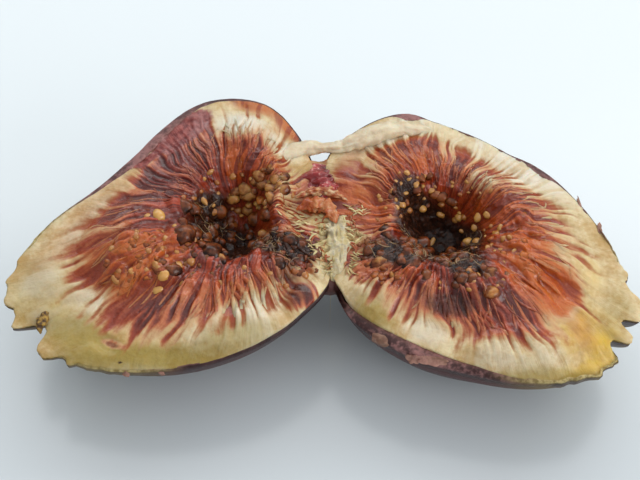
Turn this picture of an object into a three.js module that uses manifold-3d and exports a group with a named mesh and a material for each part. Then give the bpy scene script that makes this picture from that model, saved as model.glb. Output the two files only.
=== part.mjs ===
// A fresh fig torn open by hand: two halves, still joined at the eye, lying on their skin with
// the torn faces up. Millimetres, +Z up, +X to the right half, +Y away from the viewer.
// The origin is on the surface that the fig lies on, under the middle of its outline.
import * as THREE from "three";
import { mergeVertices } from "three/addons/utils/BufferGeometryUtils.js";
import Module from "manifold-3d";

const wasm = await Module();
wasm.setup();

// Driving dimensions
const SKIN = 1.0; // thickness of the skin
const FLOOR = 5.4; // thickness of wall and skin together under the pulp
const GAP = 0.3; // clearance between one layer and the next
const DEPTH = 20.3; // from a torn face down to the belly
const LEAN = 8; // degrees by which each face leans towards the viewer
const NECK_POWER = 1.45; // the belly's section towards the stem, where the fig tapers to its neck
const NECK_SPREAD = 75; // degrees on each side of the stem over which the neck fades out
const BRIM = -0.6; // height on the face plane at which every layer's belly begins
const LIP = 0.7; // how far the wall's inner edge stands above the face plane
const SWELL = 1.3; // how far the pulp domes up between the wall and the pit
const CENTRE_SHIFT = [-0.32, 3.6, 0]; // moves the whole fig so that its box is centred on the origin

// Each outline is [degrees, radius] seen from above its face, from the pit's middle: 0 degrees is
// +X and 90 degrees is away from the viewer. Margins are [degrees, width] of the skin that shows
// round the wall, where it peels outwards. Walls are [degrees, width] of skin and wall. Tears
// are [degrees, half width in degrees, depth] of the notches in the torn stem end. Lobes are
// [degrees, half width in degrees, height] of the swollen parts of the pulp. The fullness is the
// superellipse power of the belly's section, where 2 would be an ellipse.
const halves = {
  left: {
    centre: [-14.3, -0.3, 20],
    belly: [-6.5, 0.3],
    fullness: 2.15,
    stem: -150,
    outline: [
      [-170, 36.8], [-157, 42.2], [-141, 41.4], [-130, 37.2], [-115, 32.2], [-90, 26.4],
      [-60, 22.3], [-40, 20.8], [-15, 16.8], [15, 15.4], [42, 17.2], [60, 19.9], [80, 23.6],
      [105, 24.6], [130, 22.8], [150, 22.8], [170, 26.6],
    ],
    margins: [[-150, 1.3], [-90, 1.3], [0, 1.3], [60, 1.4], [100, 2], [135, 3], [160, 2.8], [185, 1.5]],
    walls: [
      [-150, 13], [-120, 6.5], [-90, 4.8], [-60, 4.5], [-30, 6], [0, 7], [30, 6.5], [60, 4.4],
      [90, 4.2], [120, 5], [150, 6], [180, 7.5],
    ],
    tears: [[-153.5, 3.5, 1.4], [-146, 4, 3.8], [-137, 3, 1.2]],
    lobes: [[-172, 34, 2.0], [-70, 26, 1.4], [75, 30, 1.6]],
    pit: { radius: 11, depth: 8.5 },
    seed: 11,
  },
  right: {
    centre: [21.7, -1.8, 20],
    belly: [5, -2],
    fullness: 2.2,
    stem: -35,
    outline: [
      [-175, 19.5], [-155, 21.8], [-136, 24.2], [-110, 25.4], [-85, 27.9], [-65, 32.9],
      [-50, 37.0], [-40, 37.6], [-28, 36.4], [-14, 30.6], [0, 26.2], [15, 23.0], [33, 20.4],
      [50, 18.4], [75, 18.8], [92, 20.6], [106, 23.4], [130, 24.2], [148, 24.2], [162, 20.6],
    ],
    margins: [[-150, 1.8], [-100, 1.5], [-60, 1.3], [0, 1.3], [90, 1.3], [160, 1.3]],
    walls: [
      [-150, 5.5], [-120, 5], [-90, 6], [-60, 7.5], [-35, 13], [-15, 9], [0, 6.5], [30, 5],
      [60, 4.6], [90, 5], [120, 5.5], [150, 6.5], [180, 8.5],
    ],
    tears: [[-40, 3, 2.6], [-33, 2.6, 3.0], [-22, 3.4, 1.2]],
    lobes: [[-60, 30, 1.8], [25, 34, 1.2], [130, 26, 1.4]],
    pit: { radius: 10.5, depth: 8.5 },
    seed: 23,
  },
};

// Numbers of facets round a half and down its belly
const SECTORS = 60;
const BELLY_RINGS = 6;
const PULP_SECTORS = 48;
const PULP_BELLY_RINGS = 3;

// Repeats on each half
const STRANDS = 28; // pale fibres that run in from the wall
const DRUPELETS = 16; // the florets' little fruits that crowd the pit
const SEEDS = 12; // those further out

const degrees = (a) => (a * 180) / Math.PI;
const radians = (a) => (a * Math.PI) / 180;
const smooth = (t) => {
  const s = THREE.MathUtils.clamp(t, 0, 1);
  return s * s * (3 - 2 * s);
};

// A smooth closed loop of values through [degrees, value] points, read at an angle in radians.
function loopValue(points, angle) {
  const n = points.length;
  const at = (i) => {
    const turns = Math.floor(i / n);
    const [a, v] = points[i - turns * n];
    return [a + 360 * turns, v];
  };
  const first = points[0][0];
  const a = first + THREE.MathUtils.euclideanModulo(degrees(angle) - first, 360);
  let i = 0;
  while (at(i + 1)[0] <= a) i += 1;
  const [p0, p1, p2, p3] = [at(i - 1), at(i), at(i + 1), at(i + 2)];
  const span = p2[0] - p1[0];
  const t = (a - p1[0]) / span;
  const m1 = ((p2[1] - p0[1]) / (p2[0] - p0[0])) * span;
  const m2 = ((p3[1] - p1[1]) / (p3[0] - p1[0])) * span;
  const [t2, t3] = [t * t, t * t * t];
  return (
    (2 * t3 - 3 * t2 + 1) * p1[1] + (t3 - 2 * t2 + t) * m1 + (3 * t2 - 2 * t3) * p2[1] + (t3 - t2) * m2
  );
}

// How far an angle is from a direction, as 1 on it and 0 from the half width on.
function nearness(angle, direction, halfWidth) {
  const away = THREE.MathUtils.euclideanModulo(degrees(angle) - direction + 180, 360) - 180;
  return Math.max(0, 1 - Math.abs(away) / halfWidth);
}

function rimRadius(half, angle) {
  const torn = half.tears.reduce((sum, [a, w, d]) => sum + d * nearness(angle, a, w), 0);
  return loopValue(half.outline, angle) - torn;
}

const wallWidth = (half, angle) => loopValue(half.walls, angle);
const margin = (half, angle) => loopValue(half.margins, angle);
const edgeOfPulp = (half, angle) => rimRadius(half, angle) - wallWidth(half, angle);

// Height of the torn face above the face plane, at a distance from the pit's middle.
function faceHeight(half, angle, radius) {
  const rim = rimRadius(half, angle);
  const edge = edgeOfPulp(half, angle);
  if (radius > edge) {
    const across = (radius - edge) / (rim - edge);
    return LIP * (1 - across ** 3);
  }
  const inwards = radius / edge;
  const dome = Math.sin(Math.PI * inwards ** 1.6);
  const lobes = half.lobes.reduce((sum, [a, w, h]) => sum + h * smooth(nearness(angle, a, w)), 0);
  const mouth = Math.min(half.pit.radius, edge - 0.5);
  const pit = half.pit.depth * (1 - smooth((radius - 1.5) / (mouth - 1.5)));
  return LIP + (SWELL + lobes) * dome - pit;
}

// The frame of a half: its face plane leans towards the viewer about X.
function frameOf(half) {
  const place = new THREE.Matrix4().makeRotationX(radians(LEAN));
  place.setPosition(new THREE.Vector3(...half.centre).add(new THREE.Vector3(...CENTRE_SHIFT)));
  return place;
}

// Makes a manifold-3d solid of a three.js geometry, and a three.js mesh of a solid.
function solidOf(geometry) {
  const bare = geometry.clone();
  bare.deleteAttribute("normal");
  bare.deleteAttribute("uv");
  const merged = mergeVertices(bare, 1e-4);
  const vertProperties = new Float32Array(merged.attributes.position.array);
  const triVerts = new Uint32Array(merged.index.array);
  return new wasm.Manifold(new wasm.Mesh({ numProp: 3, vertProperties, triVerts }));
}

// Keeps the largest body: loose scraps and sealed hollows go.
function wholeBody(solid) {
  const bodies = solid.decompose();
  return bodies.reduce((best, body) => (body.volume() > best.volume() ? body : best));
}

function meshOf(name, solid, material) {
  const { numProp, numVert, vertProperties, triVerts } = wholeBody(solid).getMesh();
  const positions = new Float32Array(numVert * 3);
  for (let i = 0; i < numVert; i += 1) {
    positions.set(vertProperties.subarray(i * numProp, i * numProp + 3), i * 3);
  }
  const geometry = new THREE.BufferGeometry();
  geometry.setAttribute("position", new THREE.BufferAttribute(positions, 3));
  geometry.setIndex(new THREE.BufferAttribute(triVerts, 1));
  geometry.computeVertexNormals();
  const mesh = new THREE.Mesh(geometry, material);
  mesh.name = name;
  return mesh;
}

// A half fig as a closed boat: a face on top and a full belly below, taken in all round by
// inset(angle). top(angle, radius) is the face's height, and shares are its rings' places.
function boat(half, { inset, bellyInset, top, shares, floor = -Infinity, ...facets }) {
  const { sectors = SECTORS, bellyRings = BELLY_RINGS } = facets;
  const faceRings = shares.length;
  const brim = faceRings + 1;
  const rings = brim + bellyRings;
  const geometry = new THREE.SphereGeometry(1, sectors, rings);
  const { position, uv } = geometry.attributes;
  const frame = frameOf(half);
  const point = new THREE.Vector3();
  const depth = DEPTH - bellyInset;
  for (let i = 0; i < position.count; i += 1) {
    const ring = Math.round((1 - uv.getY(i)) * rings);
    const pole = ring === 0 || ring === rings;
    const angle = pole ? 0 : (2 * Math.PI * (Math.round(uv.getX(i) * sectors) % sectors)) / sectors;
    const radius = rimRadius(half, angle) - inset(angle);
    if (ring <= faceRings) {
      const at = radius * (ring === 0 ? 0 : shares[ring - 1]);
      point.set(at * Math.cos(angle), at * Math.sin(angle), top(angle, at));
    } else {
      const turn = ((ring - brim) / bellyRings) * (Math.PI / 2);
      const neck = smooth(nearness(angle, half.stem, NECK_SPREAD));
      const power = THREE.MathUtils.lerp(half.fullness, NECK_POWER, neck);
      const out = Math.cos(turn) ** (2 / power);
      const down = Math.sin(turn) ** (2 / power);
      const across = ring === rings ? 0 : radius * out;
      point.set(
        half.belly[0] * down + across * Math.cos(angle),
        half.belly[1] * down + across * Math.sin(angle),
        BRIM * (1 - down) - depth * down,
      );
    }
    point.applyMatrix4(frame);
    position.setXYZ(i, point.x, point.y, Math.max(point.z, floor));
  }
  return solidOf(geometry);
}

// A tapered fibre with few sides, bent along points given by along(t), t from 0 to 1.
function fibre(along, width, { sides = 3, steps = 3 } = {}) {
  const geometry = new THREE.CylinderGeometry(1, 1, 1, sides, steps);
  const { position } = geometry.attributes;
  const up = new THREE.Vector3(0, 0, 1);
  for (let i = 0; i < position.count; i += 1) {
    const t = position.getY(i) + 0.5;
    const centre = along(t);
    const tangent = along(t + 0.01).sub(along(t - 0.01)).normalize();
    const side = new THREE.Vector3().crossVectors(tangent, up).normalize();
    const lift = new THREE.Vector3().crossVectors(side, tangent);
    centre.addScaledVector(side, position.getX(i) * width(t));
    centre.addScaledVector(lift, position.getZ(i) * width(t));
    position.setXYZ(i, centre.x, centre.y, centre.z);
  }
  return solidOf(geometry);
}

// A little oval body, longer along one direction.
function bead(centre, radius, stretch, turn) {
  const geometry = new THREE.IcosahedronGeometry(1, 0);
  geometry.scale(radius * stretch, radius, radius * 0.9);
  geometry.rotateZ(turn);
  geometry.translate(centre.x, centre.y, centre.z);
  return solidOf(geometry);
}

// Seeded random numbers from 0 to 1.
function drawer(seed) {
  let state = seed;
  return () => {
    state = (state * 1664525 + 1013904223) % 4294967296;
    return state / 4294967296;
  };
}

function onFace(half, angle, radius, above) {
  const height = faceHeight(half, angle, radius) + above;
  const point = new THREE.Vector3(radius * Math.cos(angle), radius * Math.sin(angle), height);
  return point.applyMatrix4(frameOf(half));
}

// Pulp: the red flesh of a half, with fibres that run in from the wall to the pit, and the
// drupelets that crowd the pit
function pulp(half) {
  const draw = drawer(half.seed);
  let solid = boat(half, {
    inset: (angle) => wallWidth(half, angle) + GAP,
    bellyInset: FLOOR + GAP,
    top: (angle, radius) => faceHeight(half, angle, radius),
    sectors: PULP_SECTORS,
    bellyRings: PULP_BELLY_RINGS,
    shares: [0.2, 0.34, 0.48, 0.64, 0.82, 0.94, 1],
  });
  for (let i = 0; i < STRANDS; i += 1) {
    const start = ((i + 0.6 * draw()) / STRANDS) * 2 * Math.PI;
    const bend = radians(10 * (draw() - 0.5));
    const outer = 0.93 - 0.06 * draw();
    const inner = 0.5 + 0.12 * draw();
    const thick = 0.75 + 0.35 * draw();
    const along = (t) => {
      const angle = start + bend * t * t;
      const radius = edgeOfPulp(half, angle) * (outer + (inner - outer) * t);
      return onFace(half, angle, radius, 0.25 - 0.7 * t * t);
    };
    solid = solid.add(fibre(along, (t) => thick * (1 - 0.45 * t)));
  }
  const places = [
    { count: DRUPELETS, from: 0.3, to: 1.05, least: 1.15, most: 1.75, stretch: 1.05 },
    { count: SEEDS, from: 1.1, to: 1.6, least: 0.75, most: 1.05, stretch: 1.35 },
  ];
  for (const { count, from, to, least, most, stretch } of places) {
    for (let i = 0; i < count; i += 1) {
      const angle = i * 2.39996 + 0.5 * draw();
      const spread = ((to * to - from * from) * (i + draw())) / count;
      const radius = half.pit.radius * Math.sqrt(from * from + spread);
      const size = least + (most - least) * draw();
      const centre = onFace(half, angle, Math.min(radius, 0.82 * edgeOfPulp(half, angle)), 0.35 * size);
      solid = solid.add(bead(centre, size, stretch, angle + 0.6 * (draw() - 0.5)));
    }
  }
  return solid;
}

// Space that a half's pulp takes in the wall, open upwards
const bed = (half) =>
  boat(half, {
    inset: (angle) => wallWidth(half, angle),
    bellyInset: FLOOR,
    top: () => 14,
    shares: [1],
    sectors: PULP_SECTORS,
    bellyRings: PULP_BELLY_RINGS,
  });

// A half's wall as if it were filled, and the same grown by the clearance and open upwards
const filledWall = (half) =>
  boat(half, {
    inset: (angle) => margin(half, angle),
    bellyInset: SKIN + GAP,
    floor: SKIN + GAP,
    top: (angle, radius) => (radius > edgeOfPulp(half, angle) ? faceHeight(half, angle, radius) : LIP),
    shares: [0.86, 0.95, 1],
  });
const wallSpace = (half) =>
  boat(half, {
    inset: (angle) => margin(half, angle) - GAP,
    bellyInset: SKIN,
    floor: SKIN,
    top: () => 14,
    shares: [1],
  });

// The outside of a half, whose lip stands a little lower than the wall inside it
const outside = (half) =>
  boat(half, {
    inset: () => 0,
    bellyInset: 0,
    top: () => -0.2,
    shares: [1],
    floor: 0,
  });

// The eye: the spongy pale middle that still joins the halves, with its scales pointing outwards
// into both faces. grow makes the same form larger, to cut its room out of the skin.
const EYE = { centre: [0.8, -2.6, 15], size: [6.2, 9, 5.6] };
const EYE_SCALES = 16;
function eye(grow) {
  const core = new THREE.IcosahedronGeometry(1, 2);
  core.scale(EYE.size[0] + grow, EYE.size[1] + grow, EYE.size[2] + grow);
  core.translate(...EYE.centre.map((x, i) => x + CENTRE_SHIFT[i]));
  return solidOf(core);
}
function eyeScales(grow) {
  const draw = drawer(5);
  const scales = Array.from({ length: EYE_SCALES }, (_, i) => {
    const side = i % 2 ? 1 : -1;
    const row = Math.floor(i / 2) / (EYE_SCALES / 2 - 1);
    const x = EYE.centre[0] + side * (2.8 + 1.2 * draw());
    const centre = new THREE.Vector3(x, -10 + 15 * row, 19.5 + 0.9 * row + 0.4 * draw());
    centre.add(new THREE.Vector3(...CENTRE_SHIFT));
    return bead(centre, 0.95 + grow, 2.4, side * 0.5 * (draw() - 0.2));
  });
  return scales.reduce((sum, scale) => sum.add(scale));
}

// The strap: a strip of the wall that stayed whole across the gap behind the eye
const STRAP = [
  [-6, 12.4, 21.6], [-2.4, 12.9, 22.2], [1.2, 11.8, 21.8], [4.6, 12.6, 21.4], [9.2, 15.6, 21.4],
];
const STRAP_RADII = [1.9, 1.5, 1.1, 1.7, 2.2];
function strap(grow) {
  const shift = new THREE.Vector3(...CENTRE_SHIFT);
  const curve = new THREE.CatmullRomCurve3(STRAP.map((p) => new THREE.Vector3(...p).add(shift)));
  const radii = (t) => {
    const x = THREE.MathUtils.clamp(t, 0, 1) * (STRAP_RADII.length - 1);
    const i = Math.min(Math.floor(x), STRAP_RADII.length - 2);
    return THREE.MathUtils.lerp(STRAP_RADII[i], STRAP_RADII[i + 1], x - i) + grow;
  };
  return fibre((t) => curve.getPoint(THREE.MathUtils.clamp(t, 0, 1)), radii, { sides: 8, steps: 10 });
}

// The skin under the eye, which holds the two bellies together
const SADDLE = { centre: [0.8, -2.4, 12.6], size: [8.5, 8.4, 4.6] };
function saddle() {
  const geometry = new THREE.IcosahedronGeometry(1, 2);
  geometry.scale(...SADDLE.size);
  geometry.translate(...SADDLE.centre.map((x, i) => x + CENTRE_SHIFT[i]));
  return solidOf(geometry);
}

const { left, right } = halves;
const both = [left, right];
const pulps = { left: pulp(left), right: pulp(right) };

let wall = filledWall(left).add(filledWall(right)).add(eye(0)).add(eyeScales(0)).add(strap(0));
for (const half of both) wall = wall.subtract(bed(half));

let skin = outside(left).add(outside(right)).add(saddle());
for (const half of both) skin = skin.subtract(wallSpace(half));
skin = skin.subtract(eye(GAP)).subtract(eyeScales(GAP)).subtract(strap(GAP));

// Materials, from the photograph's colours
const finish = (color, roughness) => new THREE.MeshStandardMaterial({ color, roughness, metalness: 0 });
const skinFinish = finish("#6e2b3a", 0.45);
const wallFinish = finish("#e3d3a0", 0.4);
const pulpFinish = finish("#b4472f", 0.3);

const fig = new THREE.Group();
fig.add(
  meshOf("skin", skin, skinFinish),
  meshOf("wall", wall, wallFinish),
  meshOf("pulp_left", pulps.left, pulpFinish),
  meshOf("pulp_right", pulps.right, pulpFinish),
);

export default fig;
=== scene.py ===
# %% [markdown]
# # A fresh fig, torn open
#
# A ripe fig was pulled apart by hand from the stem down to the eye. The halves lie on their skin
# like an open book and still hang together at the eye. A tear shows more than a cut would: the
# pale wall is frayed, its fibres run inwards to the florets, and in the middle of each half is a
# dark wet pit crowded with drupelets and seeds.
#
# The imported CAD model is loaded first.

# %% Load the frame
import math

import bmesh
import bpy
import numpy as np
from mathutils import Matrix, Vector
from mathutils.bvhtree import BVHTree


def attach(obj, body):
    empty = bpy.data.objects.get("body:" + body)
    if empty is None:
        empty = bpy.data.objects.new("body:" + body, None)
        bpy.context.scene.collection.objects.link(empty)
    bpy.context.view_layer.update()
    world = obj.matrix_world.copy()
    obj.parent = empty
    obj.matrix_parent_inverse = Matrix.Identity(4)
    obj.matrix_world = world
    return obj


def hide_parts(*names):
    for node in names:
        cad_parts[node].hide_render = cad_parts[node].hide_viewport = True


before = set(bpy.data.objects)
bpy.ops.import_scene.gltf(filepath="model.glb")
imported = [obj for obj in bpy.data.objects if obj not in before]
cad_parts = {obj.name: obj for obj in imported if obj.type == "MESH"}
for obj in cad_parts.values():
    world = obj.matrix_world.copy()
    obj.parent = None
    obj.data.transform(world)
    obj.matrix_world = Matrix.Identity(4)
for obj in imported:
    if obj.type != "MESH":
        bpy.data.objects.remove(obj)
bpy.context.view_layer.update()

# %% [markdown]
# ## The shape of a half
#
# Each half is described from above, round the middle of its pit: 0 degrees points right, 90
# degrees away from the viewer, lengths in millimetres. An outline gives the rim, the margins give
# how much skin shows round the flesh, and the walls how wide the pale ring is. The CAD solids are
# made of the same numbers, so both models keep the same form. Only the right half's margins are
# wider here in places, where more skin shows. Tears are notches in the stem end, lobes are swollen
# parts of the pulp, and the core is the black middle of the pit, which holds no drupelets.

# %% Outlines of the halves
MM = 0.001
CENTRE_SHIFT = (-0.32, 3.6, 0)  # brings the box of the fig over the origin
LEAN = math.radians(8)  # how far the faces lean towards the viewer
DEPTH = 20.3  # from the face down to the lowest point of the belly
BRIM = -0.6  # where the belly starts below the face
LIP = 0.7  # how far the wall's inner edge stands up
SWELL = 1.3  # how far the pulp domes up
NECK_POWER = 1.45  # the belly is more pointed at the stem: 2 would be an ellipse

left = dict(
    name="left", centre=(-14.3, -0.3, 20), belly=(-6.5, 0.3), fullness=2.15, stem=-150, hinge=5,
    outline=[(-170, 36.8), (-157, 42.2), (-141, 41.4), (-130, 37.2), (-115, 32.2), (-90, 26.4),
             (-60, 22.3), (-40, 20.8), (-15, 16.8), (15, 15.4), (42, 17.2), (60, 19.9), (80, 23.6),
             (105, 24.6), (130, 22.8), (150, 22.8), (170, 26.6)],
    margins=[(-150, 1.3), (-90, 1.3), (0, 1.3), (60, 1.4), (100, 2), (135, 3), (160, 2.8), (185, 1.5)],
    walls=[(-150, 13), (-120, 6.5), (-90, 4.8), (-60, 4.5), (-30, 6), (0, 7), (30, 6.5), (60, 4.4),
           (90, 4.2), (120, 5), (150, 6), (180, 7.5)],
    tears=[(-153.5, 3.5, 1.4), (-146, 4, 3.8), (-137, 3, 1.2)],
    lobes=[(-172, 34, 2.0), (-70, 26, 1.4), (75, 30, 1.6)],
    pit=(11, 8.5), core=(0.1, -4.9, 2.2, 3.3), seed=11)
right = dict(
    name="right", centre=(21.7, -1.8, 20), belly=(5, -2), fullness=2.2, stem=-35, hinge=182,
    outline=[(-175, 19.5), (-155, 21.8), (-136, 24.2), (-110, 25.4), (-85, 27.9), (-65, 32.9),
             (-50, 37.0), (-40, 37.6), (-28, 36.4), (-14, 30.6), (0, 26.2), (15, 23.0), (33, 20.4),
             (50, 18.4), (75, 18.8), (92, 20.6), (106, 23.4), (130, 24.2), (148, 24.2), (162, 20.6)],
    margins=[(-150, 1.8), (-107, 3.0), (-85, 2.4), (-60, 1.4), (0, 1.3), (18, 1.6), (30, 2.7),
             (42, 1.6), (70, 1.3), (96, 1.6), (105, 3.2), (113, 1.6), (160, 1.3)],
    walls=[(-150, 5.5), (-120, 5), (-90, 6), (-60, 7.5), (-35, 13), (-15, 9), (0, 6.5), (30, 5),
           (60, 4.6), (90, 5), (120, 5.5), (150, 6.5), (180, 8.5)],
    tears=[(-40, 3, 2.6), (-33, 2.6, 3.0), (-22, 3.4, 1.2)],
    lobes=[(-60, 30, 1.8), (25, 34, 1.2), (130, 26, 1.4)],
    pit=(10.5, 8.5), core=(-1.8, 0.4, 4.4, 3.4), seed=23)


def smooth(t):
    t = np.clip(t, 0, 1)
    return t * t * (3 - 2 * t)


def mix(a, b, share):
    return a * (1 - share) + b * share


def loop_value(points, angle):
    """A smooth closed loop through (degrees, value) points, read at angles in radians."""
    first = points[0][0]
    a, v = np.array(points, float).T
    a = np.concatenate([a[-2:] - 360, a, a[:3] + 360])
    v = np.concatenate([v[-2:], v, v[:3]])
    x = (np.degrees(angle) - first) % 360 + first
    i = np.clip(np.searchsorted(a, x, side="right") - 1, 1, len(a) - 3)
    span = a[i + 1] - a[i]
    t = (x - a[i]) / span
    m1 = (v[i + 1] - v[i - 1]) / (a[i + 1] - a[i - 1]) * span
    m2 = (v[i + 2] - v[i]) / (a[i + 2] - a[i]) * span
    t2, t3 = t * t, t * t * t
    return (2*t3 - 3*t2 + 1) * v[i] + (t3 - 2*t2 + t) * m1 + (3*t2 - 2*t3) * v[i + 1] + (t3 - t2) * m2


def waves(u, v, seed, around=None):
    """Smooth random heights from -1 to 1. u repeats after `around` cells where it is given."""
    rows = around or 211
    table = np.random.default_rng(seed).uniform(-1, 1, (rows, 223))
    i, j = np.floor(u).astype(int), np.floor(v).astype(int)
    fu, fv = smooth(u - i), smooth(v - j)
    near = mix(table[i % rows, j % 223], table[(i + 1) % rows, j % 223], fu)
    far = mix(table[i % rows, (j + 1) % 223], table[(i + 1) % rows, (j + 1) % 223], fu)
    return mix(near, far, fv)


def nearness(angle, direction, half_width):
    away = (np.degrees(angle) - direction + 180) % 360 - 180
    return np.clip(1 - np.abs(away) / half_width, 0, 1)


def rim_radius(half, angle):
    torn = sum(d * smooth(nearness(angle, a, w) * 1.3) for a, w, d in half["tears"])
    ragged = smooth(nearness(angle, half["stem"], 32) * 2)
    turn = np.degrees(angle) % 360
    teeth = 0.45 * waves(turn / 2.3, turn * 0, half["seed"]) + 0.2 * waves(turn / 0.8, turn * 0, 5)
    torn = torn + ragged * teeth
    return loop_value(half["outline"], angle) - torn


def pulp_edge(half, angle):
    return rim_radius(half, angle) - loop_value(half["walls"], angle)


def place(half, x, y, h):
    """Points on a half's leaning face plane, and h above it, as world points in metres."""
    cx, cy, cz = np.array(half["centre"]) + CENTRE_SHIFT
    c, s = math.cos(LEAN), math.sin(LEAN)
    return np.stack([cx + x, cy + c * y - s * h, cz + s * y + c * h], -1) * MM


for half in (left, right):
    turn = np.linspace(-math.pi, math.pi, 720)
    print(half["name"], "half: rim radius", rim_radius(half, turn).min().round(1), "to",
          rim_radius(half, turn).max().round(1), "mm")

# %% [markdown]
# ## Random but repeatable
#
# Flesh tears differently at every fibre, so most of the relief is smooth noise: random heights on
# a lattice, blended between. The lattice goes round with the angle for what runs inwards, such as
# the fibres, and lies flat for what doesn't. Soft oval spots put the larger forms and colours
# where this particular fig has them. Every draw has a seed, so the fig is the same each time.

# %% Noise and spots
def grain(x, y, size, seed):
    """Three layers of flat noise, the coarsest with cells of that size in millimetres."""
    return (waves(x / size, y / size, seed) + 0.5 * waves(2.1 * x / size, 2.1 * y / size, seed + 1)
            + 0.25 * waves(4.3 * x / size, 4.3 * y / size, seed + 2)) / 1.5


def spots(x, y, ovals):
    """How far points are inside any of some soft ovals (x, y, length, width, degrees, strength)."""
    clear = np.ones_like(x)
    for ox, oy, length, width, turn, strength in ovals:
        c, s = math.cos(math.radians(turn)), math.sin(math.radians(turn))
        along, over = (c * (x - ox) + s * (y - oy)) / length, (c * (y - oy) - s * (x - ox)) / width
        clear = clear * (1 - strength * smooth(1.5 - np.hypot(along, over) * 1.5))
    return 1 - clear

# %% [markdown]
# ## Where this fig has its colours
#
# Each half has its own ovals for the same colours. Dark is the wet brown of the pit, together with
# painted shade in its depths and between its drupelets; warm is the orange jelly between the
# florets, wine the purple red next to the wall, yolk the yellow of the neck, chalk the white of
# the thick combed flesh, leaf the green tinge of the lower rim, amber the thin orange flesh of a
# bruised rim, and hide the skin that stuck to the face. Where it is raw, the red pulp reaches out
# over the wall. Rises are forms that stand up, in millimetres.

# %% Maps of the two faces
left["maps"] = dict(
    dark=[(-2, -3.5, 11, 7.5, -10, 1), (9, -7, 8, 4.2, -14, 1), (0, -4.5, 4.5, 5.5, 0, 1),
          (2, 4.5, 8, 4.5, 0, 0.15), (10.5, -15.5, 5, 3.2, 50, 0.55), (-11, -10.5, 4, 4, 0, 0.35),
          (-5, 3, 6, 4, 30, 0.8), (9, -12, 4, 2.6, 40, 0.6), (-20.2, -24.4, 2.2, 0.9, -20, 0.6),
          (-18.6, -27.6, 0.6, 0.4, 0, 1)],
    warm=[(-16, -11.5, 12, 7.5, 28, 1), (8, 20, 8, 3, -38, 0.9), (-1, 10, 3.5, 4, 60, 0.8),
          (6, 8, 5, 3.5, 20, 0.6), (4, -1.5, 3, 2, 0, 0.5), (-24, -9.5, 7, 4, 32, 0.75),
          (1, -16, 10, 5, 8, 0.55)],
    wine=[(-11, 8, 12, 8, 40, 1), (11, -16, 4, 3.5, 50, 0.8), (-11.5, -19.5, 8, 4.2, 20, 0.8),
          (13, 6, 4, 4, 0, 0.9), (-20, -24.2, 4, 2, -15, 0.8)],
    yolk=[(-20, -25, 14, 4, -12, 0.5), (-30, -17, 6, 5, 0, 0.25)],
    chalk=[(1, -22, 11, 5, 12, 0.6), (4, -18, 8, 4, 15, 0.45), (12, -21, 4, 3, 45, 0.4),
           (0, 17.0, 7, 4.5, -15, 1), (7, 13, 5, 3, -30, 0.8), (-25, -16, 7, 5, 0, 0.6),
           (-33, -13, 5, 6, 50, 0.7), (-26, -2, 12, 2.5, 50, 0.5), (-30, -20, 7, 3, -20, 0.6),
           (-17, -28.5, 9, 1.2, -4, 0.8)],
    leaf=[(-16, -27, 22, 3.6, 0, 1), (10, -24, 12, 2.6, 30, 0.7), (-33, -16, 9, 10, 0, 0.45),
          (-26, -22.5, 9, 5, -15, 0.9), (0, -23.5, 10, 4, 12, 0.75)],
    raw=[(-20, -24.4, 3, 1.1, -18, 0.6), (-18, -11.5, 10.5, 6.5, 28, 0.75),
         (14.5, 4.5, 7.5, 6, 0, 0.9), (12, -6, 4, 5, 0, 0.9), (11.5, -16, 4.5, 3.5, 50, 0.85),
         (-12, -20, 6, 2.6, 18, 0.4), (-20, 2, 8, 3, 40, 0.4), (-12, 9, 9.5, 6, 40, 0.9)],
    amber=[(-22, 4, 14, 4, 38, 0.25), (-30, -6, 10, 4, 52, 0.2), (14, 12.5, 7, 3, -58, 0.8),
           (3, 22.5, 8, 3, -18, 1), (9, 17.2, 6.5, 2.4, -44, 1)],
    hide=[(-10.5, 16.6, 9.5, 4.2, 42, 1), (-17, 10.5, 4, 1.6, 40, 0.6)])
left["rises"] = [
    (-15, -9, 11, 8, 20, 1.6), (0, -22.5, 12, 5, 12, 1.2), (12, -17, 5, 5, 0, 0.8),
    (2, 16, 7, 5, 0, 1.0), (-21, -24.5, 3.5, 2, -30, -0.6), (10, 1, 4, 4, 0, -1.0)]
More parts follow.
